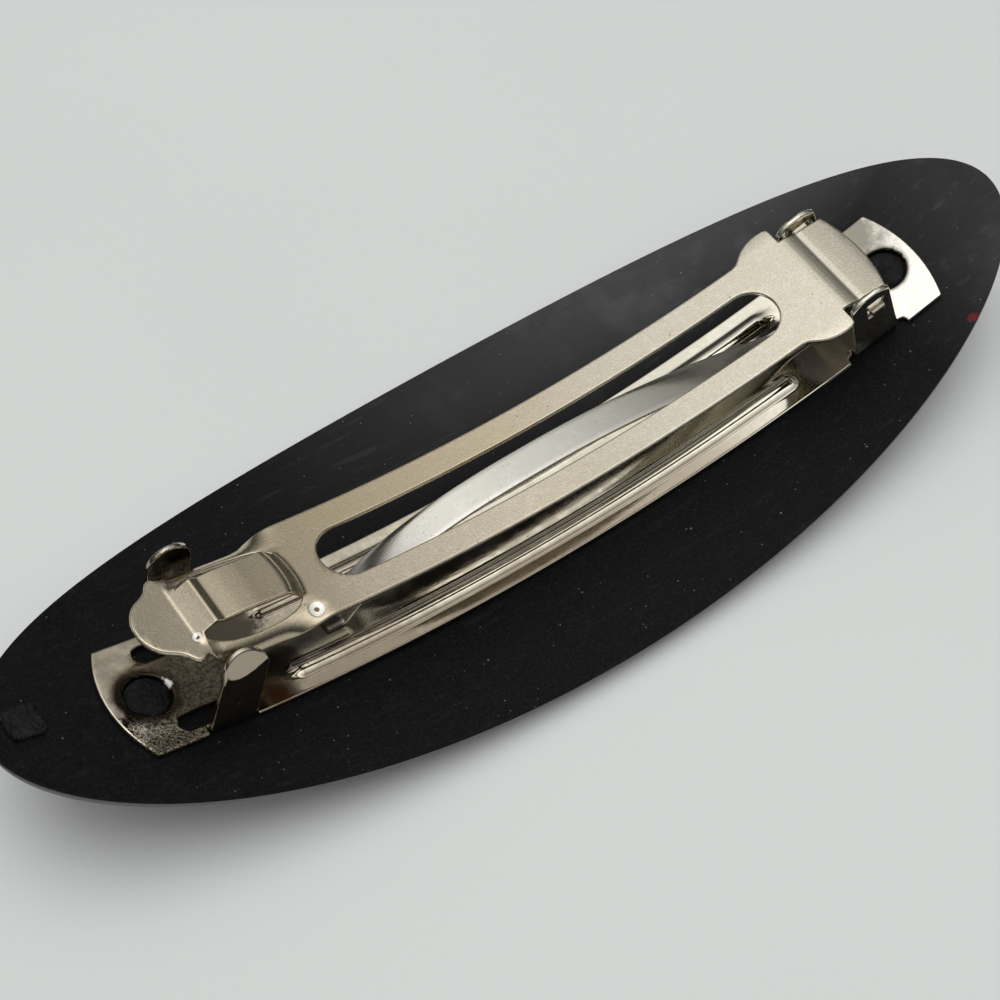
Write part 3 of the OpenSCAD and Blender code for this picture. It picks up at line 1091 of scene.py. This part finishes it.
def paint(tree, base, colour, share):
    """Mixes a colour into a base colour by a share."""
    node = add(tree, "Mix", data_type="RGBA", blend_type="MIX", clamp_factor=True)
    for number, value in ((0, share), (6, base), (7, colour)):
        feed(tree, node.inputs[number], value)
    return node.outputs[2]


def coats(tree, base, **shares):
    """Lays colours named in SHADES over a base, one after the other, each by its share."""
    for name, share in shares.items():
        base = paint(tree, base, SHADES[name], share)
    return base


def spread(tree, value, low, high, to_low=0.0, to_high=1.0, smooth=True):
    """Maps a socket's range to another range."""
    node = add(tree, "MapRange", clamp=True, interpolation_type="SMOOTHSTEP" if smooth else "LINEAR")
    given = {"Value": value, "From Min": low, "From Max": high, "To Min": to_low, "To Max": to_high}
    for label, number in given.items():
        feed(tree, node.inputs[label], number)
    return node.outputs["Result"]


def ramp(tree, axis, low, high, to_low=0.0, to_high=1.0):
    """Maps the way between two places along an axis, given in millimetres, to another range."""
    return spread(tree, axis, low * MM, high * MM, to_low, to_high)


def noise(tree, vector, scale, detail=2.0, rough=0.5):
    """A Noise Texture on given coordinates."""
    node = add(tree, "TexNoise")
    given = {"Vector": vector, "Scale": scale, "Detail": detail, "Roughness": rough}
    for label, value in given.items():
        feed(tree, node.inputs[label], value)
    return node.outputs["Fac"]


def bump(tree, height, strength, depth, below=None):
    """A Bump node of so many millimetres, on top of another one when given."""
    node = add(tree, "Bump")
    feed(tree, node.inputs["Height"], height)
    node.inputs["Strength"].default_value = strength
    node.inputs["Distance"].default_value = depth * MM
    if below:
        tree.links.new(below, node.inputs["Normal"])
    return node.outputs["Normal"]


def new_group(name, output, **inputs):
    """An empty node group: its inputs are numbers with a default, or vectors where there is none."""
    group = bpy.data.node_groups.new(name, "ShaderNodeTree")
    for label, default in inputs.items():
        kind = "NodeSocketVector" if default is None else "NodeSocketFloat"
        socket = group.interface.new_socket(label, in_out="INPUT", socket_type=kind)
        if default is not None:
            socket.default_value = default
    group.interface.new_socket(output, in_out="OUTPUT", socket_type="NodeSocketFloat")
    start = group.nodes.new("NodeGroupInput")
    start.location = (-NODE_STEP * (NODE_ROWS + 1), 0)
    end = group.nodes.new("NodeGroupOutput")
    end.location = (NODE_STEP, 0)
    return group, start.outputs, end.inputs[output]


def build_groups():
    """Makes the shared node groups."""
    build_stain_group()
    build_speck_group()
    build_grain_group()
    build_near_group()
    build_ring_group()
    build_raised_group()


def build_stain_group():
    """Soft brown stains, cloudy and of uneven size."""
    group, given, mask = new_group("stains", "Mask", Vector=None, Scale=300.0, Cover=0.5)
    clouds = noise(group, given["Vector"], given["Scale"], 5.0, 0.62)
    drift = noise(group, given["Vector"], times(group, given["Scale"], 0.31))
    edge = math_node(group, "SUBTRACT", 1.32, times(group, given["Cover"], 0.6))
    lifted = math_node(group, "SUBTRACT", plus(group, clouds, drift), edge)
    group.links.new(spread(group, lifted, -0.16, 0.2), mask)


def build_speck_group():
    """Small scattered specks: dust, pits or pinholes."""
    group, given, mask = new_group("specks", "Mask", Vector=None, Scale=900.0, Size=0.12, Share=0.2)
    wobble = add(group, "TexNoise")
    wobble.inputs["Scale"].default_value = 4200.0
    group.links.new(given["Vector"], wobble.inputs["Vector"])
    bent = vector_node(group, "MULTIPLY", wobble.outputs["Color"], (0.12 * MM, 0.12 * MM, 0.12 * MM))
    cells = add(group, "TexVoronoi")
    group.links.new(vector_node(group, "ADD", given["Vector"], bent), cells.inputs["Vector"])
    group.links.new(given["Scale"], cells.inputs["Scale"])
    near_middle = math_node(group, "LESS_THAN", cells.outputs["Distance"], given["Size"])
    pickup = add(group, "SeparateColor")
    group.links.new(cells.outputs["Color"], pickup.inputs[0])
    chosen = math_node(group, "LESS_THAN", pickup.outputs[0], given["Share"])
    group.links.new(times(group, near_middle, chosen), mask)


def build_grain_group():
    """Fine grain of brushed or moulded surfaces, drawn out along the length when asked."""
    group, given, height = new_group("grain", "Height", Vector=None, Scale=6000.0, Draw=1.0)
    x, y, z = parts_of(group, given["Vector"])
    joined = add(group, "CombineXYZ")
    for socket, value in zip(joined.inputs, (math_node(group, "DIVIDE", x, given["Draw"]), y, z)):
        group.links.new(value, socket)
    group.links.new(noise(group, joined.outputs[0], given["Scale"], 3.0, 0.6), height)


def build_near_group():
    """A soft round mask about a place on the part, uneven at its edge."""
    group, given, mask = new_group(
        "near_place", "Mask", Vector=None, Place=None, Reach=0.003, Soft=0.001, Ragged=0.003
    )
    gap = vector_node(group, "DISTANCE", given["Vector"], given["Place"])
    waves = math_node(group, "SUBTRACT", noise(group, given["Vector"], 900.0, 4.0, 0.7), 0.5)
    uneven = plus(group, gap, times(group, waves, given["Ragged"]))
    far = plus(group, given["Reach"], given["Soft"])
    group.links.new(spread(group, uneven, given["Reach"], far, 1.0, 0.0), mask)


def build_ring_group():
    """A round ring about a place on the part, with a clear middle."""
    group, given, mask = new_group(
        "ring_mark", "Mask", Vector=None, Place=None, Inner=0.0002, Outer=0.0006
    )
    gap = vector_node(group, "DISTANCE", given["Vector"], given["Place"])
    outside = math_node(group, "LESS_THAN", gap, given["Outer"])
    inside = math_node(group, "GREATER_THAN", gap, given["Inner"])
    group.links.new(times(group, outside, inside), mask)


def build_raised_group():
    """Tells what stands up from the bent strip, such as its ears, from its flat."""
    group, given, mask = new_group("raised", "Mask", Vector=None, Centre=None, Radius=0.12)
    away = vector_node(group, "SUBTRACT", given["Vector"], given["Centre"])
    across = vector_node(group, "MULTIPLY", away, (1.0, 0.0, 1.0))
    height = math_node(group, "SUBTRACT", given["Radius"], vector_node(group, "LENGTH", across))
    group.links.new(ramp(group, height, 0.7, 1.2), mask)


def new_material(name):
    """A new material whose tree has the coordinates of the part."""
    material = bpy.data.materials.new(name)
    material.use_nodes = True
    add(material.node_tree, "TexCoord", name="place")
    return material, material.node_tree


def place_of(tree):
    """The coordinates of the part in a material's tree."""
    return tree.nodes["place"].outputs["Object"]


def facing(tree):
    """How far a surface faces up."""
    return parts_of(tree, add(tree, "NewGeometry").outputs["Normal"])[2]


def use_group(tree, name, **values):
    """Places a shared node group in a material with its own values, and gives its output."""
    node = add(tree, "Group", node_tree=bpy.data.node_groups[name])
    tree.links.new(place_of(tree), node.inputs["Vector"])
    for label, value in values.items():
        node.inputs[label].default_value = value
    return node.outputs[0]


def near(tree, place, reach, soft, ragged=3.0):
    """A soft, uneven mask about a place, all in millimetres."""
    spot = [v * MM for v in place]
    return use_group(tree, "near_place", Place=spot, Reach=reach * MM, Soft=soft * MM, Ragged=ragged * MM)


def ring(tree, place, inner, outer):
    """A ring about a place, all in millimetres."""
    return use_group(tree, "ring_mark", Place=[v * MM for v in place], Inner=inner * MM, Outer=outer * MM)


def dress(tree, **values):
    """Feeds the sockets of a material's surface."""
    surface = tree.nodes["Principled BSDF"]
    for label, value in values.items():
        feed(tree, surface.inputs[label.replace("_", " ")], value)


def black_plastic():
    """Matt black moulded back of the plate: fine grain, dust, lengthwise scuffs, a grey haze of fine
    scratches and painted sheen toward its far side and hinge end, and a painted highlight along its rim.
    """
    material, tree = new_material("black_plastic")
    x, y = parts_of(tree, place_of(tree))[:2]
    grain = use_group(tree, "grain", Scale=4200.0, Draw=1.0)
    scuff = use_group(tree, "grain", Scale=1500.0, Draw=16.0)
    stain = use_group(tree, "stains", Scale=260.0, Cover=0.75)
    dust = use_group(tree, "specks", Scale=620.0, Size=0.045, Share=0.4)
    fine_dust = use_group(tree, "specks", Scale=1700.0, Size=0.085, Share=0.16)
    # Painted sheen: a grey haze toward the far side and the hinge end, over fine scratches
    haze = times(tree, ramp(tree, y, 2.0, 13.5), ramp(tree, x, -25.0, 30.0))
    haze = most(tree, haze, ramp(tree, x, 34.0, 47.0, 0.0, 0.5))
    # The scuffs show mostly where the painted sheen lies
    worn = times(tree, spread(tree, scuff, 0.56, 0.72), plus(tree, haze, 0.08))
    base = coats(
        tree,
        paint(tree, tint("plastic"), tint("haze"), haze),
        scuff=worn,
        black_stain=times(tree, stain, 0.35),
        black_grain=spread(tree, grain, 0.45, 0.75, 0.0, 0.22),
        dust=times(tree, most(tree, dust, fine_dust), 0.55),
        # Painted highlight: faces of the rim that turn away from up are lighter
        plate_rim=spread(tree, facing(tree), 0.55, 0.1),
        red_chip=near(tree, (39.77, -9.61, 8.61), reach=0.1, soft=0.4, ragged=2.6),
    )
    lower = bump(tree, scuff, 0.25, 0.02)
    dress(
        tree,
        Base_Color=base,
        Roughness=spread(tree, stain, 0.0, 1.0, 0.43, 0.56),
        Specular_IOR_Level=0.1,
        Normal=bump(tree, grain, 0.8, 0.06, lower),
    )
    return material


def rough_black():
    """Torn, crumbly black plastic of the studs and the small patch."""
    material, tree = new_material("rough_black")
    crumbs = noise(tree, place_of(tree), 1500.0, 6.0, 0.7)
    lumps = noise(tree, place_of(tree), 600.0, 3.0)
    dress(
        tree,
        Base_Color=coats(tree, SHADES["torn_low"], torn_high=spread(tree, lumps, 0.4, 0.75)),
        Roughness=spread(tree, crumbs, 0.3, 0.7, 0.5, 0.8),
        Specular_IOR_Level=0.3,
        Normal=bump(tree, crumbs, 0.9, 0.2),
    )
    return material


def satin_metal():
    """Satin nickel of the arm, warm, finely stained and pitted, with painted shade and a smoother finish on
    its underside and painted glints about its two dents.
    """
    material, tree = new_material("satin_arm")
    x, y = parts_of(tree, place_of(tree))[:2]
    stain = use_group(tree, "stains", Scale=300.0, Cover=0.95)
    fine = use_group(tree, "stains", Scale=3600.0, Cover=0.7)
    pits = use_group(tree, "specks", Scale=1150.0, Size=0.075, Share=0.16)
    grain = use_group(tree, "grain", Scale=7000.0, Draw=1.6)
    share = times(tree, times(tree, stain, 0.3), ramp(tree, x, 12.0, -30.0, 0.1, 1.0))
    total = math_node(tree, "ADD", share, times(tree, fine, 0.2), clamp=True)
    plain = paint(tree, tint("arm_latch"), tint("arm_hinge"), ramp(tree, x, -22.0, 12.0))
    far_rail = times(tree, ramp(tree, x, -27.0, -19.0), ramp(tree, x, 12.0, -6.0))
    far_rail = times(tree, far_rail, ramp(tree, y, -1.0, 1.0))
    near_rail = times(tree, ramp(tree, y, -1.5, -3.5), ramp(tree, x, -23.0, -18.0))
    near_rail = times(tree, near_rail, ramp(tree, x, 6.0, -6.0))
    sand = noise(tree, place_of(tree), 9000.0, 2.0, 0.6)
    # Each dent's painted glint: its place, the inner and outer radii of its bright painted ring, and the
    # radius of its darker painted centre
    small = ((-32.12, -3.01, 16.22), 0.16, 0.4, 0.13)
    large = ((-22.89, -4.53, 13.61), 0.3, 0.6, 0.26)
    rings = most(tree, ring(tree, *small[:3]), ring(tree, *large[:3]))
    cores = most(tree, ring(tree, small[0], -1.0, small[3]), ring(tree, large[0], -1.0, large[3]))
    # Painted shade: faces turned downward are darker
    under = spread(tree, facing(tree), -0.1, -0.5)
    base = coats(
        tree,
        plain,
        far_rail=times(tree, far_rail, 0.6),
        near_rail=near_rail,
        # Lighter colour over the tongue and the bridge at the latch end
        fresh_tongue=ramp(tree, x, -30.3, -31.2),
        sand=spread(tree, sand, 0.33, 0.67, 0.34, 0.0),
        arm_stain=total,
        pit=times(tree, pits, 0.6),
        rivet=rings,
        rivet_core=cores,
        underside=under,
    )
    rough = times(tree, spread(tree, fine, 0.0, 1.0, 0.2, 0.25), spread(tree, under, 0.0, 1.0, 1.0, 0.4))
    lower = bump(tree, fine, 0.2, 0.01, bump(tree, grain, 0.6, 0.014))
    dress(
        tree,
        Base_Color=base,
        # Less metal in the painted glint rings, so they show white
        Metallic=spread(tree, rings, 0.0, 1.0, 1.0, 0.25),
        Roughness=rough,
        Normal=bump(tree, times(tree, pits, -1.0), 0.6, 0.03, lower),
    )
    return material


def nickel_plate():
    """Shiny nickel of the base strip, tarnished brown and crusted at the latch tab, with painted shade under
    the arm and on the far latch ear, and a painted highlight at the rim of the latch hole.
    """
    material, tree = new_material("nickel_strip")
    x, y = parts_of(tree, place_of(tree))[:2]
    stain = use_group(tree, "stains", Scale=380.0, Cover=0.7)
    fine = use_group(tree, "stains", Scale=1900.0, Cover=0.7)
    pits = use_group(tree, "specks", Scale=1000.0, Size=0.09, Share=0.2)
    grain = use_group(tree, "grain", Scale=5000.0, Draw=7.0)
    crumbs = noise(tree, place_of(tree), 3300.0, 4.0, 0.7)
    raised = use_group(tree, "raised", Centre=(0.39656 * MM, 0.0, 122.6 * MM), Radius=0.12)
    flat = math_node(tree, "SUBTRACT", 1.0, raised)
    # Marks at their places on the strip
    crust = near(tree, (-36.6, -5.0, 8.0), reach=1.4, soft=2.2)
    # Painted shade on the strip under the latch end of the arm
    shade = near(tree, (-33.5, -1.2, 7.5), reach=2.8, soft=2.6)
    # Painted shade on the strip under the arm's bridge
    hollow = near(tree, (-28.2, 1.8, 6.1), reach=2.4, soft=1.4)
    ring_left = near(tree, (-36.4, -0.9, 8.3), reach=2.3, soft=1.0, ragged=1.0)
    ring_right = near(tree, (37.0, -0.81, 8.3), reach=1.9, soft=0.65, ragged=0.2)
    # Wear with a painted highlight at the rim of the latch hole, on its hinge side
    worn = near(tree, (-34.45, -0.4, 7.8), reach=0.3, soft=0.3, ragged=2.2)
    brown = near(tree, (28.9, -4.0, 6.0), reach=2.4, soft=1.2, ragged=1.2)
    # Painted shade, mottled, on the inner face of the far latch ear
    inner = near(tree, (-32.5, 4.6, 12.5), reach=4.5, soft=1.2)
    # Grainy grime with painted shade on the strip under the arm's latch end
    grime = near(tree, (-32.2, -1.2, 7.1), reach=2.6, soft=1.8, ragged=1.6)
    mottle = near(tree, (36.0, 3.8, 8.2), reach=2.0, soft=3.6, ragged=5.0)
    # Place, reach and colour of two small blots on the near flange
    blots = [((-25.4, -2.6, 5.4), 1.1, (0.13, 0.11, 0.085)), ((-27.5, -5.1, 5.9), 0.4, (0.24, 0.11, 0.06))]
    share = times(tree, stain, ramp(tree, x, 30.0, -34.0, 0.08, 0.55))
    share = plus(tree, share, times(tree, fine, 0.17))
    # Real stains together with the painted shade under the arm's latch end
    dark = times(tree, most(tree, times(tree, shade, 0.85), share), flat)
    plain = paint(tree, tint("strip_latch"), tint("strip_hinge"), ramp(tree, x, -30.0, 20.0))
    base = coats(
        tree,
        plain,
        hinge_tab=ramp(tree, x, 31.0, 36.0),
        tab_mottle=mottle,
        dirty_rim=times(tree, ramp(tree, y, -4.5, -5.0), ramp(tree, x, 25.0, 12.0, 0.0, 0.72)),
        strip_stain=dark,
        pit=times(tree, pits, 0.55),
        hollow=times(tree, hollow, flat),
        brown=times(tree, brown, 0.6),
    )
    for place, reach, colour in blots:
        blot = near(tree, place, reach, soft=0.9)
        base = paint(tree, base, colour, times(tree, times(tree, blot, flat), 0.8))
    speckled = times(tree, crust, spread(tree, crumbs, 0.44, 0.58))
    grimy = times(tree, times(tree, grime, flat), spread(tree, crumbs, 0.38, 0.6, 0.5, 0.93))
    mottled = times(tree, times(tree, inner, raised), spread(tree, crumbs, 0.35, 0.62, 0.95, 0.45))
    rings = times(tree, most(tree, ring_left, ring_right), flat)
    base = coats(
        tree,
        base,
        crust=times(tree, speckled, flat),
        grime=grimy,
        ear_mottle=mottled,
        hole_ring=times(tree, rings, 0.92),
        worn_rim=worn,
    )
    # The painted highlight and the brown mark are less metallic
    dull = most(tree, worn, times(tree, brown, 0.5))
    dull = most(tree, dull, times(tree, raised, 0.02))
    rough = plus(tree, spread(tree, dark, 0.0, 1.0, 0.055, 0.2), ramp(tree, x, 31.0, 36.0, 0.0, 0.12))
    rough = plus(tree, rough, times(tree, speckled, 0.2))
    rough = plus(tree, rough, times(tree, grimy, 0.25))
    lower = bump(tree, times(tree, crumbs, speckled), 0.8, 0.1, bump(tree, grain, 0.2, 0.01))
    dress(
        tree,
        Base_Color=base,
        Metallic=spread(tree, dull, 0.0, 1.0, 1.0, 0.3, smooth=False),
        Roughness=rough,
        Normal=bump(tree, times(tree, pits, -1.0), 0.5, 0.03, lower),
    )
    return material


def bright_spring():
    """Bright rolled steel of the spring strip with fine pits and painted shade at its latch foot."""
    material, tree = new_material("spring_steel")
    fine = use_group(tree, "stains", Scale=1500.0, Cover=0.8)
    pits = use_group(tree, "specks", Scale=2600.0, Size=0.16, Share=0.3)
    grain = use_group(tree, "grain", Scale=5200.0, Draw=5.0)
    base = coats(
        tree,
        tint("spring"),
        spring_stain=times(tree, fine, 0.22),
        pit=times(tree, pits, 0.25),
        # Painted shade on the spring's latch foot, under the arm
        spring_foot=near(tree, (-20.9, -1.6, 5.2), reach=1.3, soft=0.6, ragged=0.4),
    )
    lower = bump(tree, grain, 0.3, 0.012)
    dress(
        tree,
        Base_Color=base,
        Metallic=1.0,
        Roughness=spread(tree, fine, 0.0, 1.0, 0.18, 0.22),
        Normal=bump(tree, times(tree, pits, -1.0), 0.4, 0.025, lower),
    )
    return material


def table_finish():
    """Pale grey table with a faint leathery texture."""
    material, tree = new_material("pale_table")
    leather = noise(tree, place_of(tree), 1500.0, 3.0, 0.55)
    spots = use_group(tree, "specks", Scale=28.0, Size=0.02, Share=0.35)
    base = paint(tree, SHADES["table_low"], tint("table"), noise(tree, place_of(tree), 14.0))
    dress(
        tree,
        Base_Color=coats(tree, base, table_spot=times(tree, spots, 0.25)),
        Roughness=spread(tree, leather, 0.3, 0.7, 0.5, 0.6),
        Normal=bump(tree, leather, 0.25, 0.08),
    )
    return material


def room_light(strength):
    """Soft light of a plain room: one broad bright ceiling above the table, dim at the sides."""
    world = bpy.data.worlds.new("room")
    world.use_nodes = True
    tree = world.node_tree
    background = tree.nodes["Background"]
    way = add(tree, "TexCoord").outputs["Generated"]
    overhead = tuple(Vector((0.0, 0.02, 1.0)).normalized())
    shades = add(tree, "ValToRGB")
    tree.links.new(vector_node(tree, "DOT_PRODUCT", way, overhead), shades.inputs["Fac"])
    # How bright the room is, from its sides up to the middle of the ceiling
    steps = [
        (0.0, (0.02, 0.02, 0.02)),
        (0.26, (0.035, 0.035, 0.034)),
        (0.5, (0.115, 0.114, 0.111)),
        (0.616, (0.24, 0.238, 0.232)),
        (0.707, (0.35, 0.348, 0.34)),
        (0.819, (0.53, 0.528, 0.52)),
        (0.883, (0.67, 0.668, 0.66)),
        (0.94, (0.86, 0.858, 0.85)),
        (0.99, (1.0, 1.0, 0.995)),
    ]
    elements = shades.color_ramp.elements
    while len(elements) < len(steps):
        elements.new(0.5)
    for element, (position, colour) in zip(elements, steps):
        element.position = position
        element.color = (*colour, 1.0)
    tree.links.new(shades.outputs["Color"], background.inputs["Color"])
    background.inputs["Strength"].default_value = strength
    return world


class BARRETTE_PT_panel(bpy.types.Panel):
    """Lists the operators and the sizes of the barrette"""

    bl_idname = "BARRETTE_PT_panel"
    bl_label = "French Barrette"
    bl_space_type = "VIEW_3D"
    bl_region_type = "UI"
    bl_category = "Barrette"

    def draw(self, context):
        for name in ("stage", "plate", "strip", "arm", "spring"):
            self.layout.operator("barrette." + name)
        for name, kind in settings_groups.items():
            box = self.layout.box()
            box.label(text=kind.__doc__)
            group = getattr(context.scene, name)
            for key in kind.__annotations__:
                box.prop(group, key)


settings_groups = {
    "barrette_clip": BarretteClipSizes,
    "barrette_plate": BarrettePlateSizes,
    "barrette_strip": BarretteStripSizes,
    "barrette_arm": BarretteArmSizes,
    "barrette_spring": BarretteSpringSizes,
    "barrette_colours": BarretteColours,
    "barrette_stage": BarretteStageSettings,
}
classes = (
    *settings_groups.values(),
    BARRETTE_OT_stage,
    BARRETTE_OT_plate,
    BARRETTE_OT_strip,
    BARRETTE_OT_arm,
    BARRETTE_OT_spring,
    BARRETTE_PT_panel,
)


def register():
    for kind in classes:
        bpy.utils.register_class(kind)
    for name, kind in settings_groups.items():
        setattr(bpy.types.Scene, name, bpy.props.PointerProperty(type=kind))


def unregister():
    for name in settings_groups:
        delattr(bpy.types.Scene, name)
    for kind in reversed(classes):
        bpy.utils.unregister_class(kind)


def main():
    register()
    bpy.ops.barrette.stage()
    bpy.ops.barrette.plate()
    bpy.ops.barrette.strip()
    bpy.ops.barrette.arm()
    bpy.ops.barrette.spring()


if __name__ == "__main__":
    main()
